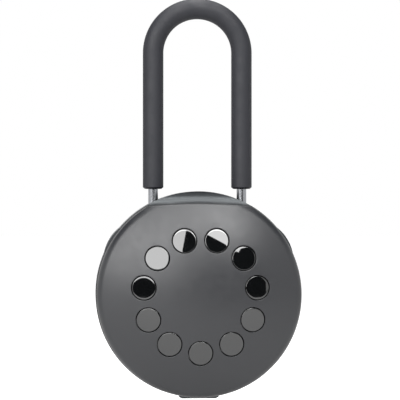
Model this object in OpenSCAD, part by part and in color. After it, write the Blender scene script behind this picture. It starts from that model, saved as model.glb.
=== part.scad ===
// Round key lock box with a detachable shackle and a ring of eleven keys.
// X is to the right, Z is up along the shackle, and the front faces -Y.
// The origin is at the centre of the back face. A depth is a distance forward of that face.

/* [Housing] */
// Outer radius of the rear housing
body_r = 52; // [51:0.5:56]
// Depth of the parting plane between housing and door
parting = 29; // [29:0.5:34]
// Side wall of the rear housing
side_wall = 3.5; // [2.5:0.25:4.5]
// Thickness of the housing's floor
floor_t = 3; // [2:0.5:4]
// Radius of the housing's rounded back edge
back_edge_r = 6; // [3:0.5:8]
// Height of the side grips over the round outline
grip_h = 0.8; // [0.5:0.1:1.5]
// Thickness of the rubber pad on the back
pad_t = 1.6; // [1.2:0.2:2]
// Radius of the concave finger cove over the door
cove_r = 4.2; // [3.6:0.1:5]

/* [Door] */
// Step from the body's round outline in to the door
door_step = 0.5; // [0.4:0.1:2]
// Depth of the door from the parting plane to the middle of its dome
door_depth = 21; // [21:0.5:26]
// Radius of the domed front
dome_r = 115; // [100:5:160]
// Radius of the rollover round the dome
roll_r = 5.25; // [3:0.25:8]
// Wall of the door shell
door_wall = 2.5; // [2:0.25:3]
// How far the door's top edge lies under the top of the body
door_drop = 6.5; // [5.5:0.25:7]
// Radius of the shallow arch along the door's top edge
top_arch_r = 265; // [200:5:600]
// Gap between door and housing
door_gap = 0.3; // [0.2:0.1:0.6]

/* [Keys] */
// Number of keys in the ring
key_count = 11; // [11:1:11]
// Radius of the ring of keys
key_ring_r = 28.5; // [28:0.25:30]
// Diameter of a key cap
key_d = 12; // [10:0.5:13]
// Gap round a key cap
key_gap = 0.3; // [0.25:0.05:0.6]
// How far a key cap lies under the dome
key_recess = 0.3; // [0:0.1:0.6]

/* [Shackle] */
// Distance between the shackle's legs
shackle_w = 45.2; // [40:0.2:46]
// Diameter of the steel bar
bar_d = 5; // [4:0.5:5.5]
// Outer diameter of the soft sleeve
sleeve_d = 10.5; // [8:0.1:11]
// Length of bare leg between the body and the sleeve
bare_leg = 6.4; // [5.5:0.1:12]
// Height of the arch's centre over the sleeve's lower ends
arch_rise = 69.4; // [50:0.1:100]
// Depth of block in front of the legs' axis
leg_cover = 6.5; // [6:0.25:7.5]
// Length of leg held inside the body, under the outline
leg_hold = 27; // [26:0.5:28]

/* [Hinge] */
// Width of the hinge
hinge_w = 20; // [16:0.5:22]
// Radius of the hinge barrel
hinge_r = 2.2; // [1.9:0.1:2.4]
// Diameter of the hinge pin
hinge_pin_d = 2; // [1.5:0.1:2.2]
// How far the barrel stands out under the round outline
hinge_drop = 0.45; // [0.3:0.05:1]

/* [Lock] */
// How far the shackle's lock bar slides
lock_travel = 1.8; // [1.4:0.1:2]
// Thickness of the lock bar
lock_bar_t = 5; // [4:0.5:6]
// Radius at which the cam's pin turns
cam_throw = 3.2; // [2.8:0.1:3.4]
// Half of the cam's turn, in degrees
cam_half_turn = 40; // [30:5:40]

/* [Power] */
// Number of battery cells
cell_count = 4; // [2:1:4]
// Diameter of a cell
cell_d = 10.5; // [10:0.1:10.5]
// Height over the motor, for its clamp's foot
over_motor = 10.2; // [7:0.1:14]

/* [Mounting] */
// Distance between the wall-screw holes, side to side
wall_holes_x = 44; // [36:1:50]
// Distance of the lower wall-screw holes from the round outline
wall_edge = 13.2; // [12:0.1:18]
// Diameter of the wall-screw holes
wall_hole_d = 4.5; // [4:0.1:5.5]

/* [Hidden] */
$fn = 72;

// Clearances: a running fit, a sliding gap and a loose gap, and a length that cuts right through
fit = 0.05;
slide = 0.3;
loose = 0.6;
thru = 60;

// Depths, from the back face forwards
pad_stand = 0.6;
floor_d = pad_stand + floor_t;
apex = parting + door_depth;
door_r = body_r - door_step;
door_top = body_r - door_drop;
rim_d = parting + door_gap;
dome_c = apex - dome_r;
cavity_r = body_r - side_wall;

// The rollover arc touches the dome and ends on the door's straight wall
function roll_c(r) = dome_c + sqrt(pow(dome_r - roll_r, 2) - pow(r - roll_r, 2));
function dome_depth(r, inset) = dome_c + sqrt(pow(dome_r - inset, 2) - r * r);
function arc(cx, cy, r, a0, a1, n) =
    [for (i = [0:n]) let (a = a0 + (a1 - a0) * i / n) [cx + r * cos(a), cy + r * sin(a)]];

// The door's flat top edge and what follows it
door_in_top = door_top - door_wall;
tray_top = door_in_top - slide;
cavity_top = tray_top + 0.9;
cove_land = 0.4;
cove_d = parting + 0.5;

// The tray that closes the back of the door
tray_wall = 1.5;
tray_r = cavity_r - 2.5;
tray_in_r = tray_r - tray_wall;
tray_in_top = tray_top - tray_wall;
cell_room = cell_d + loose;
board_t = 1.6;
mat_t = 1;
dome_h = 1.2;
flange_r = key_d / 2 + 1.1;
flange_t = 1;
flange_d = dome_depth(key_ring_r + flange_r, door_wall) - 0.15;
mat_top = flange_d - flange_t - 0.1 - dome_h;
board_d = mat_top - mat_t - board_t;
tray_d = board_d - cell_room - tray_wall;
tray_in = tray_d + tray_wall;
flange_ring_t = 2;

// Screws that hold the tray to the door stand midway between keys
tray_boss_r = 3;
tray_screw_ring = tray_r - 2.4;
tray_screw_angles = [for (i = [0, 1, 3, 7, 9, 10]) -90 + 360 / key_count * (i + 0.5)];
board_r = tray_screw_ring - tray_boss_r - 1.1;
board_boss_ring = 15;
board_boss_angles = [45, 135, 225, 315];

// Hinge axis, under the gap between door and housing
hinge_z = hinge_r - body_r - hinge_drop;
hinge_d = parting + door_gap / 2;
knuckle = hinge_w / 3;

// Shackle lock, in the block over the key compartment
leg_r = bar_d / 2;
half_w = shackle_w / 2;
leg_top = sqrt(body_r * body_r - half_w * half_w);
leg_end = leg_top - leg_hold;
block_x = half_w + 11;
block_z = leg_end - 4;
block_d = tray_d - 2.4;
leg_depth = block_d - leg_cover;
sleeve_z = leg_top + bare_leg;
arch_z = sleeve_z + arch_rise;
cover_t = 1.5;
lock_z = leg_end + 10;
bar_half = half_w + 4.7;
bar_low = leg_depth - 5;
bar_high = block_d - cover_t - 0.4;
window = leg_r + slide;
tab_x = 12;
tab_w = 8;
tab_h = 4;
cover_z = lock_bar_t / 2 + 4;

// Door latch: a cam turns on the motor's shaft and lifts the bolt into the strike
motor_size = [12, 10];
motor_z = tray_in_top - over_motor - motor_size[0] / 2;
motor_x = [0.9 - sqrt(pow(tray_in_r, 2) - pow(motor_z + motor_size[0] / 2, 2)), -7];
gearbox_l = 9;
motor_d = tray_in + 0.3 + motor_size[1] / 2;
shaft_r = 1.5;
cam_x = [-4.5, -1.5];
cam_r = 5;
cam_pin_r = 1;
bolt_x = [-1, 1.5];
bolt_d = [motor_d - 4.2, motor_d + cam_throw + cam_pin_r + 0.1];
bolt_nose_d = [bolt_d[0] + 0.2, bolt_d[0] + 4.2];
strike_z = lock_z + cover_z + 0.4;
strike_t = 2;
strike_h = 5;
strike_x = [bolt_x[0] - 8, bolt_x[1] + 8];
strike_arm_x = [bolt_x[0] - 2.6, bolt_x[1] + 2.6];
bolt_top = strike_z - 0.8;
bolt_shoulder = strike_z - 7;
slot_gap = 0.15;

// Battery cells stand side by side in the tray
cell_pitch = cell_d + 1;
cell_axis_d = tray_in + loose / 2 + cell_d / 2;
holder_x = cell_count * cell_pitch / 2 + 1.5;
holder_z = [11.5 - tray_in_r, motor_z - motor_size[0] / 2 - 1.5];
holder_end = 3;
cell_z = holder_z[0] + holder_end;
// The room between the ends sets a cell's length: 44.5 in a body of radius 52, which is an AAA cell
cell_l = holder_z[1] - holder_end - cell_z;
bolt_low = holder_z[1] + 0.3;

// Small fasteners
screw_r = 1.1;
head_r = 2;
head_t = 0.8;
cover_screw_l = 9;
reset_at = [board_r - 14.5, motor_z - 1];
reset_r = 2;
// The button lies sunk in the tray's wall, so that the keys can't press it
reset_sunk = 0.9;
switch_half = 3;
switch_h = 2.4;
hook_z = block_z - 12.1;
hook_base_r = 5;
hook_wire_r = 1.2;
hook_reach = 13;

// Solids drawn across the depth, across the width and by turning about the middle
module along_depth(d0, d1) { rotate([90, 0, 0]) translate([0, 0, d0]) linear_extrude(d1 - d0) children(); }
module turned() { rotate([90, 0, 0]) rotate_extrude() children(); }
module block(x, d, z) { translate([x[0], -d[1], z[0]]) cube([x[1] - x[0], d[1] - d[0], z[1] - z[0]]); }
module rod_y(x, z, d, r) { translate([x, -d[0], z]) rotate([90, 0, 0]) cylinder(r = r, h = d[1] - d[0]); }
module rod_x(x, d, z, r) { translate([x[0], -d, z]) rotate([0, 90, 0]) cylinder(r = r, h = x[1] - x[0]); }
module rod_z(x, d, z, r) { translate([x, -d, z[0]]) cylinder(r = r, h = z[1] - z[0]); }

// A disc with a flat top, as the door and all that follows it are
module flat_disc(r, top) {
    intersection() {
        circle(r);
        translate([-r - 1, -r - 1]) square([2 * r + 2, top + r + 1]);
    }
}

module each_polar(angles, r) {
    for (a = angles) translate([r * cos(a), 0, r * sin(a)]) children();
}

module flat_screw(head_d, length) {
    rod_y(0, 0, [head_d, head_d + head_t], head_r);
    rod_y(0, 0, [head_d + head_t, head_d + length], screw_r);
}

module screw_hole(head_d, length) {
    rod_y(0, 0, [head_d - 0.5, head_d + head_t], head_r + fit);
    rod_y(0, 0, [head_d - 0.5, head_d + length + fit], screw_r + fit);
}

// Screws driven from the front into the housing: the head is at the front
module front_screw(head_d, length) {
    rod_y(0, 0, [head_d - head_t, head_d], head_r);
    rod_y(0, 0, [head_d - length, head_d - head_t], screw_r);
}

module front_screw_hole(head_d, length) {
    rod_y(0, 0, [head_d - head_t, head_d + 0.5], head_r + fit);
    rod_y(0, 0, [head_d - length - fit, head_d + 0.5], screw_r + fit);
}

module housing_outline() {
    turned() polygon(concat(
        [[0, pad_stand], [body_r - back_edge_r, pad_stand]],
        arc(body_r - back_edge_r, pad_stand + back_edge_r, back_edge_r, -75, 0, 8),
        [[body_r, parting], [0, parting]]
    ));
    // a grip is a shallow swelling of the outline, and fades into it above and below
    each_polar([grip_angle, 180 - grip_angle], grip_offset)
        rod_y(0, 0, [pad_stand + back_edge_r + 2, parting], grip_r);
}
grip_angle = 32;
grip_r = 0.42 * body_r;
grip_offset = body_r + grip_h - grip_r;

// The finger cove runs along the door's top edge, with a narrow land between the two
module cove() {
    translate([0, -cove_d, door_top - top_arch_r]) rotate([90, 0, 0])
        rotate_extrude($fn = 400) translate([top_arch_r + cove_land + cove_r, 0]) circle(cove_r);
}

// The two fixed knuckles, each narrowed towards its outer end
module hinge_knuckles(clear) {
    r = hinge_r + clear;
    long = knuckle - knuckle_end + clear;
    inner = knuckle / 2 - clear;
    for (s = [0, 1]) mirror([s, 0, 0]) translate([inner, -hinge_d, hinge_z]) rotate([0, 90, 0]) {
        cylinder(r = r, h = long, $fn = 48);
        translate([0, 0, long]) cylinder(r1 = r, r2 = r - 0.7, h = knuckle_end, $fn = 48);
    }
}
knuckle_end = 1.6;

module lock_screws_at() {
    for (x = [-bar_half + 1, bar_half]) translate([x, 0, lock_z + cover_z - 2.5]) children();
}

module strike_screws_at() {
    for (x = [strike_x[0] + 2.6, strike_x[1] - 2.6]) translate([x, 0, strike_z + strike_h / 2]) children();
}

module rear_housing() {
    color([0.29, 0.29, 0.31]) difference() {
        union() {
            difference() {
                housing_outline();
                // key compartment, with the space for the door's tray in front of it
                along_depth(floor_d, thru) flat_disc(cavity_r, block_z);
                along_depth(block_d, thru) flat_disc(cavity_r, cavity_top);
                for (x = [[-cavity_r, -block_x], [block_x, cavity_r]]) intersection() {
                    along_depth(floor_d, thru) flat_disc(cavity_r, cavity_top);
                    block(x, [floor_d, thru], [block_z - 1, cavity_top]);
                }
                cove();
                // room for the door's knuckle and for the gasket
                rod_x([-knuckle / 2 - slide, knuckle / 2 + slide], hinge_d, hinge_z, hinge_r + slide);
                along_depth(gasket_d, thru) difference() {
                    flat_disc(gasket_out, gasket_top);
                    flat_disc(gasket_in, gasket_top - 0.7);
                    hinge_gap();
                }
            }
            hinge_knuckles(0);
            rod_y(0, hook_z, [floor_d - 1, floor_d + 2], hook_base_r);
        }
        rod_x([-thru, thru], hinge_d, hinge_z, hinge_pin_d / 2 + fit);
        // leg sockets with a seat for each bush
        for (x = [-half_w, half_w]) {
            rod_z(x, leg_depth, [leg_end - 1, thru], leg_r + 0.1);
            rod_z(x, leg_depth, [bush_z[0], thru], bush_r);
        }
        // lock chamber, its cover's seat and the screws
        block([-bar_half - 0.5, bar_half + lock_travel + 0.5], [bar_low - slide, thru],
            [lock_z - lock_bar_t / 2 - slide, lock_z + lock_bar_t / 2 + slide]);
        block([-bar_half - 3, bar_half + lock_travel + 3], [block_d - cover_t, thru],
            [lock_z - cover_z, lock_z + cover_z]);
        lock_screws_at() front_screw_hole(block_d, cover_screw_l);
        strike_screws_at() front_screw_hole(block_d + cover_t, cover_screw_l);
        translate([0, 0, hook_z + 1.5]) front_screw_hole(floor_d + 3.5, 4);
        // wall screws, and the recess that the pad lies in
        wall_holes() rod_y(0, 0, [-1, thru], wall_hole_d / 2);
        rod_y(0, 0, [-1, pad_t], pad_r + 0.1);
    }
}
gasket_d = parting - 0.9;
gasket_top = cavity_top + 1.1;
gasket_out = cavity_r + 2;
gasket_in = cavity_r + 0.8;
bush_r = leg_r + 1.7;
bush_z = [leg_top - 7, leg_top - 2.6];
pad_r = body_r - back_edge_r - 3;

module wall_holes() {
    for (x = [-wall_holes_x / 2, wall_holes_x / 2], z = wall_holes_z) translate([x, 0, z]) children();
}
wall_holes_z = [-sqrt(pow(body_r - wall_edge, 2) - pow(wall_holes_x / 2, 2)), block_z - 8.1];

module rear_pad() {
    color([0.07, 0.07, 0.075]) difference() {
        rod_y(0, 0, [0, pad_t], pad_r);
        wall_holes() rod_y(0, 0, [-1, pad_t + 1], wall_hole_d / 2 + 2);
    }
}

module door_gasket() {
    color([0.05, 0.05, 0.055]) along_depth(gasket_d, rim_d) difference() {
        flat_disc(gasket_out - 0.1, gasket_top - 0.1);
        flat_disc(gasket_in + 0.1, gasket_top - 0.6);
        hinge_gap();
    }
}

// The seal stops at each end of the hinge
module hinge_gap() {
    w = hinge_w / 2 + slide;
    translate([-w, -body_r]) square([2 * w, body_r]);
}

module shackle_bushes() {
    color([0.1, 0.1, 0.11]) for (x = [-half_w, half_w]) difference() {
        rod_z(x, leg_depth, bush_z, bush_r);
        rod_z(x, leg_depth, [bush_z[0] - 1, bush_z[1] + 1], leg_r + 0.1);
    }
}

module lock_cover() {
    color([0.55, 0.56, 0.58]) difference() {
        block([-bar_half - 3 + 0.1, bar_half + lock_travel + 3 - 0.1], [block_d - cover_t, block_d],
            [lock_z - cover_z + 0.1, lock_z + cover_z - 0.1]);
        block([tab_x - tab_w / 2 - slide, tab_x + tab_w / 2 + lock_travel + slide], [0, thru],
            [lock_z - tab_h / 2 - slide, lock_z + tab_h / 2 + slide]);
        lock_screws_at() front_screw_hole(block_d, cover_screw_l);
    }
}

module lock_cover_screws() {
    color([0.7, 0.71, 0.72]) lock_screws_at() front_screw(block_d, cover_screw_l);
}

module shackle_lock_bar() {
    color([0.75, 0.76, 0.78]) difference() {
        union() {
            block([-bar_half, bar_half], [bar_low, bar_high],
                [lock_z - lock_bar_t / 2, lock_z + lock_bar_t / 2]);
            block([tab_x - tab_w / 2, tab_x + tab_w / 2], [bar_high - 1, block_d + 1.6],
                [lock_z - tab_h / 2, lock_z + tab_h / 2]);
        }
        for (x = [-half_w, half_w])
            block([x - window, x + window], [leg_depth - window, leg_depth + window], [0, thru]);
    }
}

module shackle_leg_and_arch(r) {
    for (x = [-half_w, half_w]) rod_z(x, leg_depth, [$bottom, arch_z + 0.01], r);
    translate([0, -leg_depth, arch_z]) rotate([90, 0, 0])
        rotate_extrude(angle = 180) translate([half_w, 0]) circle(r);
}

module shackle_bar() {
    color([0.8, 0.8, 0.82]) difference() {
        shackle_leg_and_arch(leg_r, $bottom = leg_end);
        // a notch on the left of each leg takes the lock bar
        for (x = [-half_w, half_w])
            block([x - leg_r - 1, x - leg_r + lock_travel], [0, thru],
                [lock_z - lock_bar_t / 2 - 0.5, lock_z + lock_bar_t / 2 + 0.5]);
    }
}

module shackle_sleeve() {
    color([0.25, 0.25, 0.27]) difference() {
        shackle_leg_and_arch(sleeve_d / 2, $bottom = sleeve_z);
        shackle_leg_and_arch(leg_r + 0.05, $bottom = sleeve_z - 1);
    }
}

module door_strike() {
    color([0.78, 0.79, 0.8]) difference() {
        union() {
            block(strike_x, [block_d, block_d + cover_t], [strike_z, strike_z + strike_h]);
            block(strike_arm_x, [block_d, bolt_nose_d[1] + 2.5], [strike_z, strike_z + strike_t]);
        }
        block([bolt_x[0] - loose, bolt_x[1] + loose],
            [bolt_nose_d[0] - loose, bolt_nose_d[1] + loose], [0, thru]);
        strike_screws_at() front_screw_hole(block_d + cover_t, cover_screw_l);
    }
}

module strike_screws() {
    color([0.7, 0.71, 0.72]) strike_screws_at() front_screw(block_d + cover_t, cover_screw_l);
}

module key_hook() {
    front = floor_d + 3.5;
    color([0.82, 0.83, 0.85]) difference() {
        union() {
            rod_y(0, hook_z, [floor_d + 2, front], hook_base_r);
            rod_y(0, hook_z - 3, [floor_d + 2, floor_d + hook_reach], hook_wire_r);
            rod_z(0, floor_d + hook_reach - 1, [hook_z - 3, hook_z + 3], hook_wire_r);
            translate([0, -floor_d - hook_reach + 1, hook_z + 3]) sphere(hook_wire_r);
        }
        translate([0, 0, hook_z + 1.5]) {
            rod_y(0, 0, [front - head_t, front + 0.5], head_r + fit);
            rod_y(0, 0, [0, front + 0.5], screw_r + fit);
        }
    }
}

module key_hook_screw() {
    color([0.7, 0.71, 0.72]) translate([0, 0, hook_z + 1.5]) front_screw(floor_d + 3.5, 4);
}

module hinge_pin() {
    color([0.8, 0.81, 0.82])
        rod_x([slide - hinge_w / 2, hinge_w / 2 - slide], hinge_d, hinge_z, hinge_pin_d / 2);
}

// The door's outer form: the dome, the rollover and the straight wall, cut by the shallow top arch
module door_form() {
    intersection() {
        translate([0, -dome_c, 0]) sphere(r = dome_r, $fn = 200);
        turned() polygon(concat(
            [[0, rim_d], [door_r, rim_d]],
            arc(door_r - roll_r, roll_c(door_r), roll_r, 0, 90 - dome_tilt, 10),
            [[door_r - roll_r, apex + 5], [0, apex + 5]]
        ));
        translate([0, -rim_d, 0]) top_arch();
    }
}

// The same form set in from the outside, with a flat top
module door_inner(inset, back) {
    r = dome_r - inset;
    intersection() {
        turned() polygon(concat(
            [[0, back], [door_r - inset, back]],
            arc(door_r - roll_r, roll_c(door_r), roll_r - inset, 0, 90 - dome_tilt, 10),
            [for (i = [9:-1:0]) let (a = dome_tilt * i / 10) [r * sin(a), dome_c + r * cos(a)]]
        ));
        block([-door_r, door_r], [0, thru], [-door_r, door_top - inset]);
    }
}
dome_tilt = atan2(door_r - roll_r, roll_c(door_r) - dome_c);

module top_arch() {
    translate([0, 0, door_top - top_arch_r]) rotate([90, 0, 0])
        cylinder(r = top_arch_r, h = door_depth + 5, $fn = 400);
}

module at_key(i) {
    a = -90 + 360 / key_count * i;
    translate([key_ring_r * cos(a), 0, key_ring_r * sin(a)]) children();
}

module door_shell() {
    color([0.33, 0.33, 0.35]) difference() {
        union() {
            difference() {
                door_form();
                door_inner(door_wall, rim_d - 1);
            }
            intersection() {
                door_inner(1, rim_d);
                union() {
                    each_polar(tray_screw_angles, tray_screw_ring)
                        rod_y(0, 0, [tray_flange_d, apex], tray_boss_r);
                    each_polar(board_boss_angles, board_boss_ring)
                        rod_y(0, 0, [mat_top - mat_t, apex], tray_boss_r - 0.5);
                }
            }
            rod_x([-knuckle / 2, knuckle / 2], hinge_d, hinge_z, hinge_r);
            block([-knuckle / 2, knuckle / 2], [hinge_d + 0.6, hinge_d + 4], [hinge_z, door_wall - door_r]);
        }
        for (i = [0:key_count - 1]) at_key(i) rod_y(0, 0, [flange_d - 0.5, thru], key_d / 2 + key_gap);
        each_polar(tray_screw_angles, tray_screw_ring)
            rod_y(0, 0, [tray_flange_d - 1, tray_flange_d + 6], screw_r + fit);
        each_polar(board_boss_angles, board_boss_ring)
            rod_y(0, 0, [mat_top - 2, mat_top + 4], screw_r + fit);
        rod_x([-thru, thru], hinge_d, hinge_z, hinge_pin_d / 2 + fit);
        hinge_knuckles(slide);
        // under the barrel the door's lip is cut back, so that it clears the housing as it drops
        for (s = [0, 1]) mirror([s, 0, 0])
            block([knuckle / 2 + slide, lip_cut], [0, hinge_d + hinge_r + slide], [-thru, hinge_z]);
    }
}
tray_flange_d = rim_d + 0.2 + flange_ring_t;
// The cut ends past the place where the door's round rim rises over the hinge's axis
lip_cut = max(hinge_w / 2, sqrt(door_r * door_r - hinge_z * hinge_z)) + slide;

module keypad_mat() {
    color([0.16, 0.17, 0.18]) difference() {
        union() {
            rod_y(0, 0, [mat_top - mat_t, mat_top], board_r - 0.5);
            for (i = [0:key_count - 1])
                at_key(i) rod_y(0, 0, [mat_top - 0.2, mat_top + dome_h], key_d / 2 - 2.5);
        }
        each_polar(board_boss_angles, board_boss_ring) rod_y(0, 0, [0, thru], tray_boss_r);
    }
}

module keypad_board() {
    color([0.05, 0.3, 0.16]) difference() {
        union() {
            rod_y(0, 0, [board_d, board_d + board_t], board_r);
            // reset switch and two chips on the back of the board
            block([reset_at[0] - switch_half, reset_at[0] + switch_half],
                [board_d - switch_h, board_d + 0.1],
                [reset_at[1] - switch_half, reset_at[1] + switch_half]);
            block([holder_x + 2, board_r - 6], [board_d - 1.2, board_d + 0.1], [-14, -4]);
            block([6 - board_r, -holder_x - 2], [board_d - 1.2, board_d + 0.1], [-12, -5]);
        }
        each_polar(board_boss_angles, board_boss_ring) rod_y(0, 0, [0, thru], screw_r + fit);
    }
}

module board_screws() {
    color([0.7, 0.71, 0.72]) each_polar(board_boss_angles, board_boss_ring) {
        rod_y(0, 0, [board_d - 0.25, board_d], head_r);
        rod_y(0, 0, [board_d - 0.1, mat_top + 2.4], screw_r);
    }
}

module door_tray() {
    color([0.12, 0.12, 0.13]) difference() {
        union() {
            difference() {
                along_depth(tray_d, tray_flange_d) flat_disc(tray_r, tray_top);
                along_depth(tray_in, thru) flat_disc(tray_r - tray_wall, tray_top - tray_wall);
            }
            along_depth(tray_flange_d - flange_ring_t, tray_flange_d) difference() {
                flat_disc(door_r - door_wall - slide, tray_top);
                flat_disc(tray_r - 0.5, tray_top - 0.5);
            }
            each_polar(tray_screw_angles, tray_screw_ring)
                rod_y(0, 0, [tray_in - 0.5, tray_flange_d], tray_boss_r);
            rod_y(0, cover_screw_z, [tray_in - 0.5, tray_in + 4], tray_boss_r);
        }
        each_polar(tray_screw_angles, tray_screw_ring) {
            rod_y(0, 0, [0, tray_d + 2], head_r + 0.5);
            rod_y(0, 0, [0, thru], screw_r + fit);
        }
        // opening for the cells, with the cover screw under it
        block([-holder_x - slide, holder_x + slide], [0, tray_in],
            [holder_z[0] - slide, holder_z[1] + slide]);
        translate([0, 0, cover_screw_z]) screw_hole(tray_d, 4.5);
        rod_y(0, cover_screw_z, [0, tray_d + cover_lap], cover_lap_r + 0.2);
        block([-cover_lap_r - 0.2, cover_lap_r + 0.2], [0, tray_d + cover_lap],
            [cover_screw_z, holder_z[0]]);
        // openings for the strike and the reset button
        block([strike_arm_x[0] - 1, strike_arm_x[1] + 1], [0, tray_in + 1], [strike_z - 2, strike_z + 4.2]);
        rod_y(reset_at[0], reset_at[1], [0, tray_in + 1], reset_r + 0.15);
        translate([clamp_at[0], 0, clamp_at[1]]) rod_y(0, 0, [tray_d + 0.5, thru], screw_r + fit);
        // room for the hinge's knuckles
        rod_x([-hinge_w / 2 - slide, hinge_w / 2 + slide], hinge_d, hinge_z, hinge_r + slide);
    }
}
cover_screw_z = holder_z[0] - 4;
cover_lap = 1;
cover_lap_r = 3.8;
clamp_at = [motor_x[1] - 6, motor_z + motor_size[0] / 2 + 2.8];

module tray_screws() {
    color([0.7, 0.71, 0.72]) each_polar(tray_screw_angles, tray_screw_ring) {
        rod_y(0, 0, [tray_d + 2 - head_t, tray_d + 2], head_r);
        rod_y(0, 0, [tray_d + 2, tray_flange_d + 5], screw_r);
    }
}

module battery_holder() {
    color([0.08, 0.08, 0.085]) difference() {
        block([-holder_x, holder_x], [tray_in, cell_axis_d + 1], holder_z);
        for (i = [0:cell_count - 1])
            rod_z(cell_at(i), cell_axis_d, [cell_z - 1.2, cell_z + cell_l + 1.2], cell_d / 2 + 0.25);
    }
}
function cell_at(i) = (i - (cell_count - 1) / 2) * cell_pitch;

module batteries() {
    color([0.35, 0.38, 0.4]) for (i = [0:cell_count - 1]) {
        rod_z(cell_at(i), cell_axis_d, [cell_z, cell_z + cell_l - 0.8], cell_d / 2);
        rod_z(cell_at(i), cell_axis_d, [cell_z + cell_l - 1, cell_z + cell_l], 1.9);
    }
}

module battery_contacts() {
    color([0.8, 0.78, 0.7]) for (i = [0:cell_count - 1], z = [cell_z - 1.2, cell_z + cell_l])
        block([cell_at(i) - 3.5, cell_at(i) + 3.5], [cell_axis_d - 3.5, cell_axis_d + 0.9], [z, z + 1.2]);
}

module battery_cover() {
    color([0.14, 0.14, 0.15]) difference() {
        union() {
            block([-holder_x, holder_x], [tray_d, tray_in], holder_z);
            rod_y(0, cover_screw_z, [tray_d, tray_d + cover_lap], cover_lap_r);
            block([-cover_lap_r, cover_lap_r], [tray_d, tray_d + cover_lap],
                [cover_screw_z, holder_z[0] + 1]);
        }
        translate([0, 0, cover_screw_z]) screw_hole(tray_d, 4.5);
    }
}

module battery_cover_screw() {
    color([0.7, 0.71, 0.72]) translate([0, 0, cover_screw_z]) flat_screw(tray_d, 4.5);
}

module gearmotor() {
    color([0.7, 0.68, 0.6]) {
        block([motor_x[1] - gearbox_l, motor_x[1]], motor_depths, motor_heights);
        intersection() {
            rod_x([motor_x[0], motor_x[1] - gearbox_l], motor_d, motor_z, motor_size[0] / 2);
            block([motor_x[0] - 1, motor_x[1]], motor_depths, motor_heights);
        }
        rod_x([motor_x[1] - 1, cam_x[1] - 0.3], motor_d, motor_z, shaft_r);
    }
}
motor_depths = [motor_d - motor_size[1] / 2, motor_d + motor_size[1] / 2];
motor_heights = [motor_z - motor_size[0] / 2, motor_z + motor_size[0] / 2];

module motor_clamp() {
    x = [clamp_at[0] - clamp_half, clamp_at[0] + clamp_half];
    color([0.75, 0.76, 0.77]) difference() {
        union() {
            block(x, [tray_in, motor_depths[1] + clamp_t], [motor_heights[1], motor_heights[1] + 0.6]);
            block(x, [tray_in + 0.3, motor_depths[1] + clamp_t], [motor_heights[0] - 0.6, motor_heights[0]]);
            block(x, [motor_depths[1], motor_depths[1] + clamp_t],
                [motor_heights[0] - 0.6, motor_heights[1] + 0.6]);
            block(x, [tray_in, tray_in + 1], [motor_heights[1], motor_heights[1] + 5.5]);
        }
        translate([clamp_at[0], 0, clamp_at[1]]) rod_y(0, 0, [0, thru], screw_r + fit);
    }
}
clamp_t = 0.4;
clamp_half = 2.9;

module clamp_screw() {
    color([0.7, 0.71, 0.72]) translate([clamp_at[0], 0, clamp_at[1]]) {
        rod_y(0, 0, [tray_in + 1, tray_in + 1.8], head_r);
        rod_y(0, 0, [tray_d + 0.6, tray_in + 1], screw_r);
    }
}

module latch_guide() {
    color([0.1, 0.1, 0.11]) {
        z = [holder_z[1] + 0.5, bolt_top - 2];
        block([bolt_x[1] + 0.2, bolt_x[1] + 4], [tray_in, bolt_d[1] + 1], z);
        block([bolt_x[0], bolt_x[1] + 1], [tray_in, bolt_d[0] - 0.2], z);
        block([bolt_x[0], bolt_x[1] + 1], [bolt_d[1] + 0.2, bolt_d[1] + 1], [z[0], bolt_shoulder]);
    }
}

cam_pin_at = [motor_d + cam_throw * cos(cam_half_turn), motor_z - cam_throw * sin(cam_half_turn)];

module lock_cam() {
    color([0.85, 0.85, 0.82]) difference() {
        union() {
            rod_x(cam_x, motor_d, motor_z, cam_r);
            rod_x([cam_x[1] - 1, bolt_x[1] - 0.3], cam_pin_at[0], cam_pin_at[1], cam_pin_r);
        }
        rod_x([cam_x[0] - 1, cam_x[1] - 0.25], motor_d, motor_z, shaft_r + fit);
    }
}

module latch_bolt() {
    color([0.76, 0.77, 0.79]) difference() {
        union() {
            block(bolt_x, bolt_d, [bolt_low, bolt_shoulder]);
            block(bolt_x, bolt_nose_d, [bolt_shoulder - 1, bolt_top]);
        }
        // the slot for the cam's pin is open at the front
        block([bolt_x[0] - 1, bolt_x[1] + 1], [cam_pin_at[0] - cam_pin_r - slot_gap, thru],
            [cam_pin_at[1] - cam_pin_r - slot_gap, cam_pin_at[1] + cam_pin_r + slot_gap]);
    }
}

module reset_button() {
    color([0.8, 0.8, 0.78]) {
        rod_y(reset_at[0], reset_at[1], [tray_d + reset_sunk, board_d - switch_h - 0.7], reset_r);
        rod_y(reset_at[0], reset_at[1], [tray_in + 0.2, tray_in + 1], reset_r + 1);
    }
}

module key_cap(i) {
    color([0.08, 0.08, 0.09]) at_key(i) rod_y(0, 0, [flange_d - flange_t, flange_d], flange_r);
    color([0.08, 0.08, 0.09]) intersection() {
        at_key(i) rod_y(0, 0, [flange_d - 0.5, apex], key_d / 2);
        translate([0, -dome_c, 0]) sphere(r = dome_r - key_recess, $fn = 200);
    }
}

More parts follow.
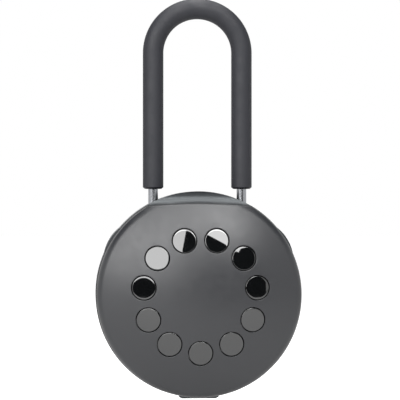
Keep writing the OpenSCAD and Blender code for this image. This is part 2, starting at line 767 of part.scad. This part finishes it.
rear_housing();
rear_pad();
door_gasket();
shackle_bushes();
lock_cover();
lock_cover_screws();
door_strike();
strike_screws();
key_hook();
key_hook_screw();
hinge_pin();
shackle_bar();
shackle_sleeve();
shackle_lock_bar();
door_shell();
keypad_mat();
keypad_board();
board_screws();
door_tray();
tray_screws();
battery_holder();
batteries();
battery_contacts();
battery_cover();
battery_cover_screw();
gearmotor();
motor_clamp();
clamp_screw();
latch_guide();
lock_cam();
latch_bolt();
reset_button();
key_cap(1);  // key_cap_1
key_cap(2);  // key_cap_2
key_cap(3);  // key_cap_3
key_cap(4);  // key_cap_4
key_cap(5);  // key_cap_5
key_cap(6);  // key_cap_6
key_cap(7);  // key_cap_7
key_cap(8);  // key_cap_8
key_cap(9);  // key_cap_9
key_cap(10);  // key_cap_10
key_cap(11);  // key_cap_11
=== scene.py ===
"""Looks of the round key lock box: modelled door, caps, sleeve and seal edge, materials and studio."""
import math
import bmesh
import bpy
from mathutils import Matrix, Vector


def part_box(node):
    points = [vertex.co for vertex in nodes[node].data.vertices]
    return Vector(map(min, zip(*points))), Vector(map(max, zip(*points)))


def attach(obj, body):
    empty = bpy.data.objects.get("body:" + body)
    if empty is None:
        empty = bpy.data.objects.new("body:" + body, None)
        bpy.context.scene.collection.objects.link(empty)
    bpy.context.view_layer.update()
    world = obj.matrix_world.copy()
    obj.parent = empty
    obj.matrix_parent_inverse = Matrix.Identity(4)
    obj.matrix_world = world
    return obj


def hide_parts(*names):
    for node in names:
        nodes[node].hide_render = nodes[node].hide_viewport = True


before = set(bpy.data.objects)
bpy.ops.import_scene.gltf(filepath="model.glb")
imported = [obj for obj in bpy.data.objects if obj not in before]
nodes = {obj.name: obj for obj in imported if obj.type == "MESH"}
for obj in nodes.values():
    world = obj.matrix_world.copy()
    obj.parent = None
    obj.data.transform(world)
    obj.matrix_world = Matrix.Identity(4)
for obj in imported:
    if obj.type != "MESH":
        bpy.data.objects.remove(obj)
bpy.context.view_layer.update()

# A millimetre, in metres
MM = 0.001

# Driving sizes, as in the CAD model, in millimetres. A depth is a distance forward of the back face.
BODY_R = 52.0
PARTING = 29.0  # depth of the plane between housing and door
DOOR_STEP = 0.5  # from the body's round outline in to the door
DOOR_DEPTH = 21.0  # from the parting plane to the middle of the dome
DOOR_WALL = 2.5
DOOR_DROP = 6.5  # from the body's top down to the door's top edge
DOOR_GAP = 0.3
DOME_R = 115.0
ROLL_R = 5.25  # the rollover round the dome
TOP_ARCH_R = 265.0  # the shallow arch along the door's top edge
KEY_COUNT = 11
KEY_RING = 28.5  # radius of the ring of keys
KEY_R = 6.0
KEY_GAP = 0.3
KEY_RECESS = 0.3  # how far a cap lies under the dome
FLANGE_OUT = 1.1  # how far a cap's flange stands out
FLANGE_T = 1.0
HINGE_W = 20.0
HINGE_R = 2.2
HINGE_DROP = 0.45  # how far the hinge reaches under the body
HINGE_GAP = 0.3
LEG_X = 22.6  # half the distance between the shackle's legs
SLEEVE_R = 5.25
BARE_LEG = 6.4  # between the body and the sleeve
ARCH_RISE = 69.4  # from the sleeve's ends to the centre of its arch

# Soft edges and small forms that only this script adds, in millimetres
HOLE_EDGE = 0.2
CAP_EDGE = 0.45
FLANGE_EDGE = 0.2
ROUND_EDGE = 0.15  # the door's front edge on its round side
ARCH_EDGE = 0.35  # the same edge along the arch
EDGE_BLEND = 1.6  # how far the arch has to cut into the round before its edge is in full
RIM_EDGE = 0.3
KNUCKLE_EDGE = 0.3
KNUCKLE_PLAY = 0.06  # taken off each end of the door's knuckle
BORE_R = 2.6
BORE_DEPTH = 6.0
# The seal's edge is a dark strip that partly paints the shade of the gap round the door
SEAL_OUT = 0.34  # from the door's outline outwards
SEAL_IN = 0.6  # from the door's outline inwards
SEAL_T = 0.25
SEAL_TIP = 0.1
SEAL_END_X = 12.0  # where the seal's edge stops beside the hinge
POINT_R = 0.02  # a ring as small as this stands for a point

# Worked out from the sizes above and from the frame. The rollover round the door is an arc that touches
# the dome, at a tilt from the front, and ends on the straight wall.
DOOR_R = BODY_R - DOOR_STEP
DOOR_TOP = BODY_R - DOOR_DROP
RIM_D = PARTING + DOOR_GAP
DOME_CENTRE_D = PARTING + DOOR_DEPTH - DOME_R
ROLL_CENTRE_R = DOOR_R - ROLL_R
ROLL_CENTRE_D = DOME_CENTRE_D + math.sqrt((DOME_R - ROLL_R) ** 2 - ROLL_CENTRE_R ** 2)
ROLL_TILT = math.atan2(ROLL_CENTRE_R, ROLL_CENTRE_D - DOME_CENTRE_D)
KEY_HOLE_R = KEY_R + KEY_GAP
CAP_DOME_R = DOME_R - KEY_RECESS
KEY_PITCH = 2 * math.pi / KEY_COUNT
KNUCKLE = HINGE_W / 3
HINGE_D = PARTING + DOOR_GAP / 2
HINGE_Z = HINGE_R - BODY_R - HINGE_DROP
LIP_CUT = math.sqrt(DOOR_R ** 2 - HINGE_Z ** 2) + HINGE_GAP
SLEEVE_Z = math.sqrt(BODY_R ** 2 - LEG_X ** 2) + BARE_LEG
ARCH_Z = SLEEVE_Z + ARCH_RISE
sleeve_low, sleeve_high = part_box("shackle_sleeve")
LEG_D = -(sleeve_low.y + sleeve_high.y) / 2 / MM

WHITE = (1.0, 1.0, 1.0, 1.0)
BUMP_DEPTH = 0.1 * MM
WELD = 0.002 * MM


def at(x, d, z):
    """A point in metres from millimetres and a depth."""
    return Vector((x, -d, z)) * MM


def lerp(a, b, t):
    return a + (b - a) * t


def srgb(r, g, b):
    """Linear colour from 0-255 sRGB values."""
    out = []
    for c in (r, g, b):
        c = c / 255.0
        out.append(c / 12.92 if c <= 0.04045 else ((c + 0.055) / 1.055) ** 2.4)
    return (*out, 1.0)


def shaded(colour, factor):
    """A colour made darker or lighter."""
    return [c * factor for c in colour[:3]] + [1.0]


class Material:
    """A material with a Principled shader and short helpers for its nodes."""

    def __init__(self, name, **values):
        self.material = bpy.data.materials.new(name)
        self.material.use_nodes = True
        self.tree = self.material.node_tree
        self.bsdf = next(n for n in self.tree.nodes if n.type == "BSDF_PRINCIPLED")
        for key, value in values.items():
            self.bsdf.inputs[key.replace("_", " ")].default_value = value
        self.coords = self.tree.nodes.new("ShaderNodeTexCoord").outputs["Object"]

    def node(self, kind, **inputs):
        """A new node. Each input takes a value, or a link from another node's socket."""
        n = self.tree.nodes.new("ShaderNode" + kind)
        for key, value in inputs.items():
            socket = n.inputs[key.replace("_", " ")]
            if isinstance(value, bpy.types.NodeSocket):
                self.tree.links.new(value, socket)
            else:
                socket.default_value = value
        return n

    def noise(self, scale, detail=2.0, stretch=None):
        """A noise over the object, which may be stretched along its axes."""
        source = self.coords
        if stretch:
            source = self.node("Mapping", Vector=source, Scale=stretch).outputs[0]
        return self.node("TexNoise", Vector=source, Scale=scale, Detail=detail).outputs["Fac"]

    def spread(self, noise, low, high):
        """Stretches the middle of a noise, where most of its values lie, over a range."""
        n = self.node("MapRange", Value=noise, From_Min=0.3, From_Max=0.7, To_Min=low, To_Max=high)
        return n.outputs[0]

    def blend(self, fac, a, b):
        """A mix of two colours."""
        n = self.tree.nodes.new("ShaderNodeMix")
        n.data_type = "RGBA"
        self.tree.links.new(fac, n.inputs[0])
        n.inputs[6].default_value = a
        n.inputs[7].default_value = b
        return n.outputs[2]

    def set(self, key, value):
        """Links a value to an input of the shader."""
        self.tree.links.new(value, self.bsdf.inputs[key])

    def mottle(self, colour, scale, detail, dark, light=1.0):
        """A base colour that wanders between a darker and a lighter tone."""
        tone = self.spread(self.noise(scale, detail), 0.0, 1.0)
        self.set("Base Color", self.blend(tone, shaded(colour, dark), shaded(colour, light)))

    def bump(self, height, strength):
        """A fine relief."""
        n = self.node("Bump", Height=height, Strength=strength, Distance=BUMP_DEPTH)
        self.set("Normal", n.outputs[0])


def painted(name, colour, rough, tint=WHITE):
    """Satin powder-like coat: fine orange peel, slightly uneven gloss, and a tint in its reflections that
    paints a colour cast of the reflected light.
    """
    m = Material(name, IOR=1.58, Specular_Tint=tint)
    m.mottle(colour, scale=60.0, detail=4.0, dark=0.94, light=1.05)
    m.set("Roughness", m.spread(m.noise(scale=260.0, detail=3.0), low=rough - 0.03, high=rough + 0.04))
    m.bump(m.noise(scale=1800.0), strength=0.12)
    return m.material


def plastic(name, colour, rough, scale=900.0, strength=0.1, ior=1.5):
    """Moulded plastic or rubber with a spark-eroded grain."""
    m = Material(name, IOR=ior)
    m.mottle(colour, scale=45.0, detail=3.0, dark=0.88)
    smoother = max(rough - 0.05, 0.5 * rough)
    rougher = min(rough + 0.06, 1.5 * rough)
    m.set("Roughness", m.spread(m.noise(scale=180.0), low=smoother, high=rougher))
    m.bump(m.noise(scale, detail=3.0), strength)
    return m.material


def metal(name, colour, rough, scale=700.0, stretch=None):
    """Bare or plated metal with fine drawn or turned marks."""
    m = Material(name, Metallic=1.0)
    m.mottle(colour, scale=80.0, detail=4.0, dark=0.86)
    marks = m.noise(scale, detail=4.0, stretch=stretch)
    m.set("Roughness", m.spread(marks, low=max(rough - 0.05, 0.03), high=rough + 0.07))
    m.bump(marks, strength=0.05)
    return m.material


DOOR_COAT = painted("door_coat", srgb(32, 33, 36), 0.38)
# The housing's reflections are tinted cool: a painted cast that stands for the cool light its cove
# reflects
BODY_COAT = painted("body_coat", srgb(32, 34, 36), 0.4, tint=(0.89, 0.95, 0.98, 1.0))
KEY_GLOSS = plastic("key_gloss", srgb(8, 9, 10), 0.025, scale=400.0, strength=0.004, ior=1.85)
SLEEVE = plastic("sleeve_rubber", srgb(21, 22, 29), 0.62, scale=1500.0, strength=0.18)
PAD = plastic("pad_rubber", srgb(34, 35, 37), 0.7, scale=2200.0, strength=0.3)
SEAL = plastic("seal_rubber", srgb(26, 26, 28), 0.6, scale=1800.0, strength=0.2)
SILICONE = plastic("mat_silicone", srgb(60, 62, 66), 0.5, scale=600.0)
INNER = plastic("inner_plastic", srgb(52, 53, 56), 0.5)
INNER_DARK = plastic("inner_plastic_dark", srgb(38, 39, 41), 0.48)
CAM = plastic("cam_plastic", srgb(214, 213, 205), 0.4)
BOARD = plastic("board_green", srgb(18, 84, 52), 0.3, scale=300.0, strength=0.06)
CELL = plastic("cell_jacket", srgb(92, 104, 112), 0.3, scale=200.0, strength=0.03)
BRIGHT = metal("steel_bright", srgb(172, 174, 178), 0.22, stretch=(1.0, 1.0, 0.06))
PLAIN = metal("steel_plain", srgb(126, 128, 132), 0.4, scale=900.0)
SCREW = metal("screw_steel", srgb(84, 86, 90), 0.36)
HOOK = metal("hook_steel", srgb(128, 130, 134), 0.3)
CONTACT = metal("contact_metal", srgb(214, 204, 176), 0.25)
MOTOR = metal("motor_metal", srgb(176, 178, 180), 0.3)

NODE_MATERIALS = {
    "rear_housing": BODY_COAT, "rear_pad": PAD, "door_gasket": SEAL, "shackle_bushes": INNER_DARK,
    "lock_cover": PLAIN, "lock_cover_screws": SCREW, "door_strike": PLAIN, "strike_screws": SCREW,
    "key_hook": HOOK, "key_hook_screw": SCREW, "hinge_pin": BRIGHT, "shackle_bar": BRIGHT,
    "shackle_lock_bar": PLAIN, "keypad_mat": SILICONE, "keypad_board": BOARD, "board_screws": SCREW,
    "door_tray": INNER, "tray_screws": SCREW, "battery_holder": INNER_DARK, "batteries": CELL,
    "battery_contacts": CONTACT, "battery_cover": INNER_DARK, "battery_cover_screw": SCREW,
    "gearmotor": MOTOR, "motor_clamp": PLAIN, "clamp_screw": SCREW, "latch_guide": INNER_DARK,
    "lock_cam": CAM, "latch_bolt": PLAIN, "reset_button": CAM,
}


def dress(obj, material, sharp=35.0):
    """Gives an object its material and smooth faces, with sharp edges over an angle in degrees."""
    obj.data.materials.clear()
    obj.data.materials.append(material)
    obj.data.shade_smooth()
    obj.data.set_sharp_from_angle(angle=math.radians(sharp))


for node_name, node_material in NODE_MATERIALS.items():
    dress(nodes[node_name], node_material)


def piece(name, bm, material, body, replaced=(), sharp=40.0):
    """Turns a bmesh in metres into a dressed piece that rides on a body."""
    bmesh.ops.remove_doubles(bm, verts=bm.verts, dist=WELD)
    bmesh.ops.recalc_face_normals(bm, faces=bm.faces)
    mesh = bpy.data.meshes.new(name)
    bm.to_mesh(mesh)
    bm.free()
    obj = bpy.data.objects.new(name, mesh)
    bpy.context.scene.collection.objects.link(obj)
    dress(obj, material, sharp)
    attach(obj, body)
    if replaced:
        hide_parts(*replaced)


def skin(bm, rows, closed=True):
    """Quads between rows of points, where they aren't shrunk to a line. A closed row joins its ends."""
    made = [[bm.verts.new(p) for p in row] for row in rows]
    count = len(rows[0])
    last = count if closed else count - 1
    for a, b in zip(made, made[1:]):
        for i in range(last):
            j = (i + 1) % count
            quad = [a[i], a[j], b[j], b[i]]
            corners = {tuple(round(c, 8) for c in v.co) for v in quad}
            if len(corners) > 2:
                bm.faces.new(quad)
    return made


def capped_skin(bm, rows):
    """Quads between closed rows, with a face over the first and the last one."""
    made = skin(bm, rows)
    bm.faces.new(made[0])
    bm.faces.new(made[-1])


def circle(r, angles, cx=0.0, cz=0.0):
    """The points of a circle at the given angles, as pairs such as (x, z)."""
    return [(cx + r * math.cos(a), cz + r * math.sin(a)) for a in angles]


def full_turn(steps):
    """Evenly spaced angles of a full turn."""
    return [2 * math.pi * i / steps for i in range(steps)]


# The door

def front_depth(r, inset=0.0):
    """Depth of the door's outer form at a radius, or of the same form set in."""
    roll = ROLL_R - inset
    if r <= ROLL_CENTRE_R + roll * math.sin(ROLL_TILT):
        return DOME_CENTRE_D + math.sqrt((DOME_R - inset) ** 2 - r * r)
    return ROLL_CENTRE_D + math.sqrt(max(roll * roll - (r - ROLL_CENTRE_R) ** 2, 0.0))


def front_point(x, z, inset=0.0, drop=0.0):
    """A point of the door's form at a place, or of the same form set in, lowered by a drop."""
    return at(x, front_depth(math.hypot(x, z), inset) - drop, z)


def edge_radius(angle):
    """Radius of the door's outline at an angle: round, and cut by the shallow arch at the top."""
    s = math.sin(angle)
    if s <= 0:
        return DOOR_R
    below = TOP_ARCH_R - DOOR_TOP
    return min(DOOR_R, math.sqrt((below * s) ** 2 - below ** 2 + TOP_ARCH_R ** 2) - below * s)


def inner_radius(angle):
    """Radius of the door's inner wall at an angle: round, and flat at the top."""
    s = math.sin(angle)
    r = DOOR_R - DOOR_WALL
    return min(r, (DOOR_TOP - DOOR_WALL) / s) if s > 0 else r


# The ring of key holes lies between two radii, with one sector of the ring for each key.
RING_IN = 20.0
RING_OUT = 37.6
ARC_STEPS = 22
SIDE_STEPS = 18
DISC_ROWS = 12
FIELD_ROWS = 8
FIELD_CROWDING = 0.8
HOLE_EDGE_ROWS = 4
COLUMNS = KEY_COUNT * ARC_STEPS


def column_angle(i):
    """Angle of a column of the door's mesh. The first lies between the last key and the first one."""
    return -math.pi / 2 + KEY_PITCH * (0.5 + i / ARC_STEPS)


def key_centre(number):
    """The (x, z) centre of a key. They count counter-clockwise, and the last is at the bottom."""
    return circle(KEY_RING, [-math.pi / 2 + KEY_PITCH * number])[0]


def sector_outline(number):
    """The (x, z) outline of a key's sector of the ring."""
    arc = [column_angle((number - 1) * ARC_STEPS + i) for i in range(ARC_STEPS + 1)]
    steps = [i / SIDE_STEPS for i in range(SIDE_STEPS)]
    outline = circle(RING_IN, arc[:-1])
    outline += [circle(lerp(RING_IN, RING_OUT, t), arc[-1:])[0] for t in steps]
    outline += circle(RING_OUT, arc[:0:-1])
    outline += [circle(lerp(RING_OUT, RING_IN, t), arc[:1])[0] for t in steps]
    return outline


def key_field(bm, number, inset):
    """A sector with its round hole. In the outer surface the hole has a soft edge and its wall."""
    cx, cz = key_centre(number)
    outline = sector_outline(number)
    turns = [math.atan2(z - cz, x - cx) for x, z in outline]
    soft = 0.0 if inset else HOLE_EDGE
    hole = circle(KEY_HOLE_R + soft, turns, cx, cz)
    rows = []
    for k in range(FIELD_ROWS + 1):
        t = (k / FIELD_ROWS) ** FIELD_CROWDING
        rows.append([front_point(lerp(x, hole_x, t), lerp(z, hole_z, t), inset)
                     for (x, z), (hole_x, hole_z) in zip(outline, hole)])
    if not inset:
        for k in range(1, HOLE_EDGE_ROWS + 1):
            bend = math.pi / 2 * k / HOLE_EDGE_ROWS
            ring = circle(KEY_HOLE_R + soft * (1 - math.sin(bend)), turns, cx, cz)
            rows.append([front_point(x, z, drop=soft * (1 - math.cos(bend))) for x, z in ring])
        rows.append([front_point(x, z, DOOR_WALL) for x, z in circle(KEY_HOLE_R, turns, cx, cz)])
    skin(bm, rows)


def dome(bm, inset):
    """The outer or inner surface between the door's middle and the ring's outer radius."""
    angles = [column_angle(i) for i in range(COLUMNS)]
    disc = []
    for k in range(DISC_ROWS + 1):
        r = RING_IN * k / DISC_ROWS if k else POINT_R
        disc.append([front_point(x, z, inset) for x, z in circle(r, angles)])
    made = skin(bm, disc)
    bm.faces.new(made[0])
    for number in range(1, KEY_COUNT + 1):
        key_field(bm, number, inset)


def straight(a, b, steps):
    """Points of a straight line between two (radius, depth) pairs, without the first."""
    return [(lerp(a[0], b[0], k / steps), lerp(a[1], b[1], k / steps)) for k in range(1, steps + 1)]


def rounded(a, corner, b, steps):
    """Points of a soft corner between two (radius, depth) pairs, without the first."""
    out = []
    for k in range(1, steps + 1):
        t = k / steps
        out.append(tuple((1 - t) ** 2 * a[i] + 2 * t * (1 - t) * corner[i] + t * t * b[i] for i in (0, 1)))
    return out


def rim_depth(x, z):
    """Depth of the door's rim: its lip is cut back in front of the two fixed knuckles."""
    beside_knuckle = KNUCKLE / 2 + HINGE_GAP < abs(x) < LIP_CUT
    return HINGE_D + HINGE_R + HINGE_GAP if z < 0 and beside_knuckle else RIM_D


ROLL_ROWS = 29
ROLL_CROWDING = 1.6
INNER_ROWS = 6


def band_profile(angle):
    """From the ring out over the rollover, down the wall and across the rim, and back inside."""
    edge = edge_radius(angle)
    cut = min(max((DOOR_R - edge) / EDGE_BLEND, 0.0), 1.0)
    soft = lerp(ROUND_EDGE, ARCH_EDGE, cut)
    points = []
    for k in range(ROLL_ROWS + 1):
        r = lerp(RING_OUT, edge - soft * cut, 1 - (1 - k / ROLL_ROWS) ** ROLL_CROWDING)
        points.append((r, front_depth(r)))
    front = front_depth(edge)
    rim = rim_depth(edge * math.cos(angle), edge * math.sin(angle))
    points += rounded(points[-1], (edge, front), (edge, front - soft), steps=6)
    points += straight(points[-1], (edge, rim + RIM_EDGE), steps=4)
    points += rounded(points[-1], (edge, rim), (edge - RIM_EDGE, rim), steps=3)
    wall = inner_radius(angle)
    points.append((wall, rim))
    points += straight(points[-1], (wall, front_depth(wall, DOOR_WALL)), steps=3)
    for k in range(1, INNER_ROWS + 1):
        r = lerp(wall, RING_OUT, k / INNER_ROWS)
        points.append((r, front_depth(r, DOOR_WALL)))
    return points


def outer_band(bm):
    """The door outside the ring, as one skin from the outer surface to the inner one."""
    columns = []
    for i in range(COLUMNS):
        a = column_angle(i)
        columns.append([at(r * math.cos(a), d, r * math.sin(a)) for r, d in band_profile(a)])
    skin(bm, [list(row) for row in zip(*columns)])


def middle_knuckle(bm):
    """The door's hinge knuckle along X, with softened ends."""
    end = KNUCKLE / 2 - KNUCKLE_PLAY
    # One point of the soft edge lies between its two ends, about where a round edge would have it
    bevel = 0.3 * KNUCKLE_EDGE
    half = [(end, POINT_R), (end, HINGE_R - KNUCKLE_EDGE),
            (end - bevel, HINGE_R - bevel), (end - KNUCKLE_EDGE, HINGE_R)]
    rows = []
    for x, r in [(-x, r) for x, r in half] + half[::-1]:
        rows.append([at(x, d, z) for d, z in circle(r, full_turn(steps=40), HINGE_D, HINGE_Z)])
    capped_skin(bm, rows)


def door_front():
    """The door's outer and inner surface, its wall and rim, and its knuckle."""
    bm = bmesh.new()
    dome(bm, 0.0)
    dome(bm, DOOR_WALL)
    outer_band(bm)
    middle_knuckle(bm)
    piece("door_front", bm, DOOR_COAT, "door", ("door_shell",))


door_front()


# The keys

def key_cap(number):
    """A glossy cap: its top follows the dome, with a soft edge, and a flange holds it under the door."""
    back = -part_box("key_cap_%d" % number)[1].y / MM
    cx, cz = key_centre(number)
    turns = full_turn(steps=96)

    def domed(r, drop=0.0):
        """A ring on the cap's top, lowered by a drop."""
        return [at(x, DOME_CENTRE_D + math.sqrt(CAP_DOME_R ** 2 - x * x - z * z) - drop, z)
                for x, z in circle(r, turns, cx, cz)]

    def level(r, depth):
        """A ring at one depth."""
        return [at(x, depth, z) for x, z in circle(r, turns, cx, cz)]

    top_rows = 10
    edge_rows = 6
    rows = [domed(POINT_R)]
    rows += [domed((KEY_R - CAP_EDGE) * k / top_rows) for k in range(1, top_rows + 1)]
    for k in range(1, edge_rows + 1):
        bend = math.pi / 2 * k / edge_rows
        rows.append(domed(KEY_R - CAP_EDGE * (1 - math.sin(bend)), CAP_EDGE * (1 - math.cos(bend))))
    flange_r = KEY_R + FLANGE_OUT
    rows += [level(KEY_R, back + FLANGE_T), level(flange_r - FLANGE_EDGE, back + FLANGE_T),
             level(flange_r, back + FLANGE_T - FLANGE_EDGE), level(flange_r, back), level(POINT_R, back)]
    bm = bmesh.new()
    capped_skin(bm, rows)
    piece("key_%d_cap" % number, bm, KEY_GLOSS, "key_%d" % number,
          ("key_cap_%d" % number,), sharp=50.0)


for key_number in range(1, KEY_COUNT + 1):
    key_cap(key_number)


# The shackle's sleeve

def sleeve():
    """A tube up one leg, over the arch and down the other, with a rounded lip and a bore at each end."""
    leg_steps = 24
    arch_steps = 72
    path = [(LEG_X, lerp(SLEEVE_Z, ARCH_Z, k / leg_steps), 0.0) for k in range(1, leg_steps + 1)]
    for k in range(1, arch_steps + 1):
        w = math.pi * k / arch_steps
        path.append((LEG_X * math.cos(w), ARCH_Z + LEG_X * math.sin(w), w))
    path += [(-LEG_X, lerp(ARCH_Z, SLEEVE_Z, k / leg_steps), math.pi) for k in range(1, leg_steps)]

    def ring(x, z, w, r):
        """A ring round the path, where the path's outer side points at the angle w."""
        row = []
        for a in full_turn(steps=64):
            out = r * math.cos(a)
            row.append(at(x + out * math.cos(w), LEG_D + r * math.sin(a), z + out * math.sin(w)))
        return row

    # Height over the sleeve's end, and radius, from inside the bore outwards
    lip = [(BORE_DEPTH, BORE_R), (0.0, BORE_R), (0.0, 3.6), (0.06, 4.2), (0.35, 4.62), (0.9, SLEEVE_R)]
    rows = [ring(LEG_X, SLEEVE_Z + up, 0.0, r) for up, r in lip]
    rows += [ring(x, z, w, SLEEVE_R) for x, z, w in path]
    rows += [ring(-LEG_X, SLEEVE_Z + up, math.pi, r) for up, r in reversed(lip)]
    bm = bmesh.new()
    skin(bm, rows)
    piece("sleeve_tube", bm, SLEEVE, "shackle", ("shackle_sleeve",))


sleeve()


# The seal's edge, which also paints the shade in the gap round the door

def seal_lip_and_gap_shade():
    """The edge of the door's seal: a dark line round the door, which stops beside the hinge. It is partly
    painted shade: the dark strip darkens the gap between the door and the housing.
    """
    # Distance out of the door's edge, and depth in front of the parting plane
    section = ((-SEAL_IN, 0.0), (-SEAL_IN, SEAL_T),
               (SEAL_TIP, SEAL_T), (SEAL_OUT, SEAL_TIP), (SEAL_OUT, 0.0))
    start = -math.acos(SEAL_END_X / DOOR_R)
    steps = 600
    rows = []
    for k in range(steps + 1):
        a = lerp(start, math.pi - start, k / steps)
        row = []
        for out, d in section:
            r = edge_radius(a) + out
            row.append(at(r * math.cos(a), PARTING + d, r * math.sin(a)))
        rows.append(row)
    bm = bmesh.new()
    capped_skin(bm, rows)
    piece("seal_lip_and_gap_shade", bm, SEAL, "housing")


seal_lip_and_gap_shade()


# The studio, in metres and degrees

FLOOR_Z = -0.083
FLOOR_REACH = 6.0
FLOOR_GLOW = 0.85
FLOOR_GLOSS = 0.25
WALL_Y = -1.75
HALF_WALL = 1.37
CURB_Y = -1.2
CURB_Z = -0.054
HALF_CURB = 0.95
CEILING_Y = 2.5
CEILING_Z = 1.45
HALF_CEILING = 3.0
ROOM_LIGHT = 0.35
LAMP_AIM = Vector((0.0, 0.0, 0.02))
SEEN_DIRECTLY = ("Is Camera Ray",)
SEEN_IN_SURFACES = ("Is Glossy Ray", "Is Transmission Ray")


def larger(tree, a, b):
    """The larger of two values."""
    n = tree.nodes.new("ShaderNodeMath")
    n.operation = "MAXIMUM"
    tree.links.new(a, n.inputs[0])
    tree.links.new(b, n.inputs[1])
    return n.outputs[0]


def light_path(tree, outputs):
    """A value that is 1 for any of the named kinds of ray."""
    path = tree.nodes.new("ShaderNodeLightPath")
    value = path.outputs[outputs[0]]
    for name in outputs[1:]:
        value = larger(tree, value, path.outputs[name])
    return value


def scaled(tree, value, low, high):
    """Maps a 0-1 value to a range."""
    n = tree.nodes.new("ShaderNodeMapRange")
    n.inputs["To Min"].default_value = low
    n.inputs["To Max"].default_value = high
    tree.links.new(value, n.inputs["Value"])
    return n.outputs[0]


def grey(level):
    return (level, level, level, 1.0)


def pale_floor():
    """White paper: it takes light and shadow, and glows to the camera and less in reflections."""
    m = Material("floor_pale", Roughness=0.9, Emission_Color=WHITE)
    m.set("Base Color", m.blend(m.spread(m.noise(scale=3.0), 0.0, 1.0), grey(0.52), grey(0.5)))
    seen = scaled(m.tree, light_path(m.tree, SEEN_DIRECTLY), 0.0, FLOOR_GLOW)
    gloss = scaled(m.tree, light_path(m.tree, SEEN_IN_SURFACES), 0.0, FLOOR_GLOSS)
    m.set("Emission Strength", larger(m.tree, seen, gloss))
    return m.material


def dark_cloth():
    """The unlit side of the room: it darkens light and reflections, and the camera looks through it."""
    m = Material("room_dark", Roughness=1.0)
    m.set("Base Color", m.blend(m.spread(m.noise(scale=2.0), 0.0, 1.0), grey(0.01), grey(0.014)))
    clear = m.tree.nodes.new("ShaderNodeBsdfTransparent")
    mix = m.tree.nodes.new("ShaderNodeMixShader")
    m.tree.links.new(light_path(m.tree, SEEN_DIRECTLY), mix.inputs[0])
    m.tree.links.new(m.bsdf.outputs[0], mix.inputs[1])
    m.tree.links.new(clear.outputs[0], mix.inputs[2])
    output = next(n for n in m.tree.nodes if n.type == "OUTPUT_MATERIAL")
    m.tree.links.new(mix.outputs[0], output.inputs["Surface"])
    return m.material


def sheet(name, across, places, material):
    """A sheet of the stage: points across X at each (y, z) place, joined to the next place."""
    bm = bmesh.new()
    skin(bm, [[Vector((x, y, z)) for x in across] for y, z in places], closed=False)
    mesh = bpy.data.meshes.new(name)
    bm.to_mesh(mesh)
    bm.free()
    obj = bpy.data.objects.new(name, mesh)
    bpy.context.scene.collection.objects.link(obj)
    obj.data.materials.append(material)
    obj.data.shade_smooth()


sheet("floor", (-FLOOR_REACH, 0.0, FLOOR_REACH),
      ((-FLOOR_REACH, FLOOR_Z), (0.0, FLOOR_Z), (FLOOR_REACH, FLOOR_Z)), pale_floor())
dark = dark_cloth()
sheet("room_wall", (-HALF_WALL, HALF_WALL), ((WALL_Y, FLOOR_Z), (WALL_Y, CEILING_Z)), dark)
sheet("room_curb", (-HALF_CURB, HALF_CURB), ((CURB_Y, FLOOR_Z), (CURB_Y, CURB_Z)), dark)
sheet("room_ceiling", (-HALF_CEILING, HALF_CEILING), ((WALL_Y, CEILING_Z), (CEILING_Y, CEILING_Z)), dark)


def from_front(azimuth, pitch):
    """Direction at an angle from the front, to the right, and over the horizon."""
    a, p = math.radians(azimuth), math.radians(pitch)
    return Vector((math.sin(a) * math.cos(p), -math.cos(a) * math.cos(p), math.sin(p)))


def softbox(name, azimuth, pitch, distance, width, height, radiance, roll=0.0):
    """An area lamp that faces the box."""
    data = bpy.data.lights.new(name, "AREA")
    data.shape = "RECTANGLE"
    data.size = width
    data.size_y = height
    data.energy = radiance * math.pi * width * height
    away = from_front(azimuth, pitch)
    spin = Matrix.Rotation(math.radians(roll), 3, "Z").to_quaternion()
    obj = bpy.data.objects.new(name, data)
    obj.location = LAMP_AIM + away * distance
    obj.rotation_mode = "QUATERNION"
    obj.rotation_quaternion = (-away).to_track_quat("-Z", "Y") @ spin
    bpy.context.scene.collection.objects.link(obj)


softbox("softbox_left", azimuth=-30.5, pitch=22.5, distance=1.4, width=1.13, height=0.82, radiance=6.0)
softbox("softbox_right", azimuth=20.5, pitch=35.0, distance=1.5, width=0.66, height=0.58, radiance=7.5,
        roll=-36.0)
softbox("softbox_front", azimuth=4.0, pitch=37.0, distance=1.4, width=0.95, height=0.2, radiance=7.5)
softbox("softbox_top", azimuth=-2.0, pitch=86.0, distance=1.25, width=1.0, height=1.7, radiance=5.8)


def white_room():
    """The room is white where it is seen, and lights the box less than that."""
    world = bpy.data.worlds.new("studio_room")
    bpy.context.scene.world = world
    world.use_nodes = True
    tree = world.node_tree
    background = next(n for n in tree.nodes if n.type == "BACKGROUND")
    background.inputs["Color"].default_value = WHITE
    strength = scaled(tree, light_path(tree, SEEN_DIRECTLY + SEEN_IN_SURFACES), ROOM_LIGHT, 1.0)
    tree.links.new(strength, background.inputs["Strength"])


white_room()


# The camera, at the photograph's viewing angle. Its sensor and focal length are in millimetres.
CAMERA_AZIMUTH = -3.2
CAMERA_DISTANCE = 1.0
CAMERA_TARGET = Vector((0.0006, -0.029, 0.0476))
SENSOR_WIDTH = 36.0
FOCAL_LENGTH = 178.5
lens = bpy.data.cameras.new("camera")
lens.sensor_width = SENSOR_WIDTH
lens.lens = FOCAL_LENGTH
camera = bpy.data.objects.new("camera", lens)
camera.location = CAMERA_TARGET + from_front(CAMERA_AZIMUTH, 0.0) * CAMERA_DISTANCE
camera.rotation_mode = "QUATERNION"
camera.rotation_quaternion = (CAMERA_TARGET - camera.location).to_track_quat("-Z", "Y")
bpy.context.scene.collection.objects.link(camera)
bpy.context.scene.camera = camera
bpy.context.scene.view_settings.view_transform = "Standard"
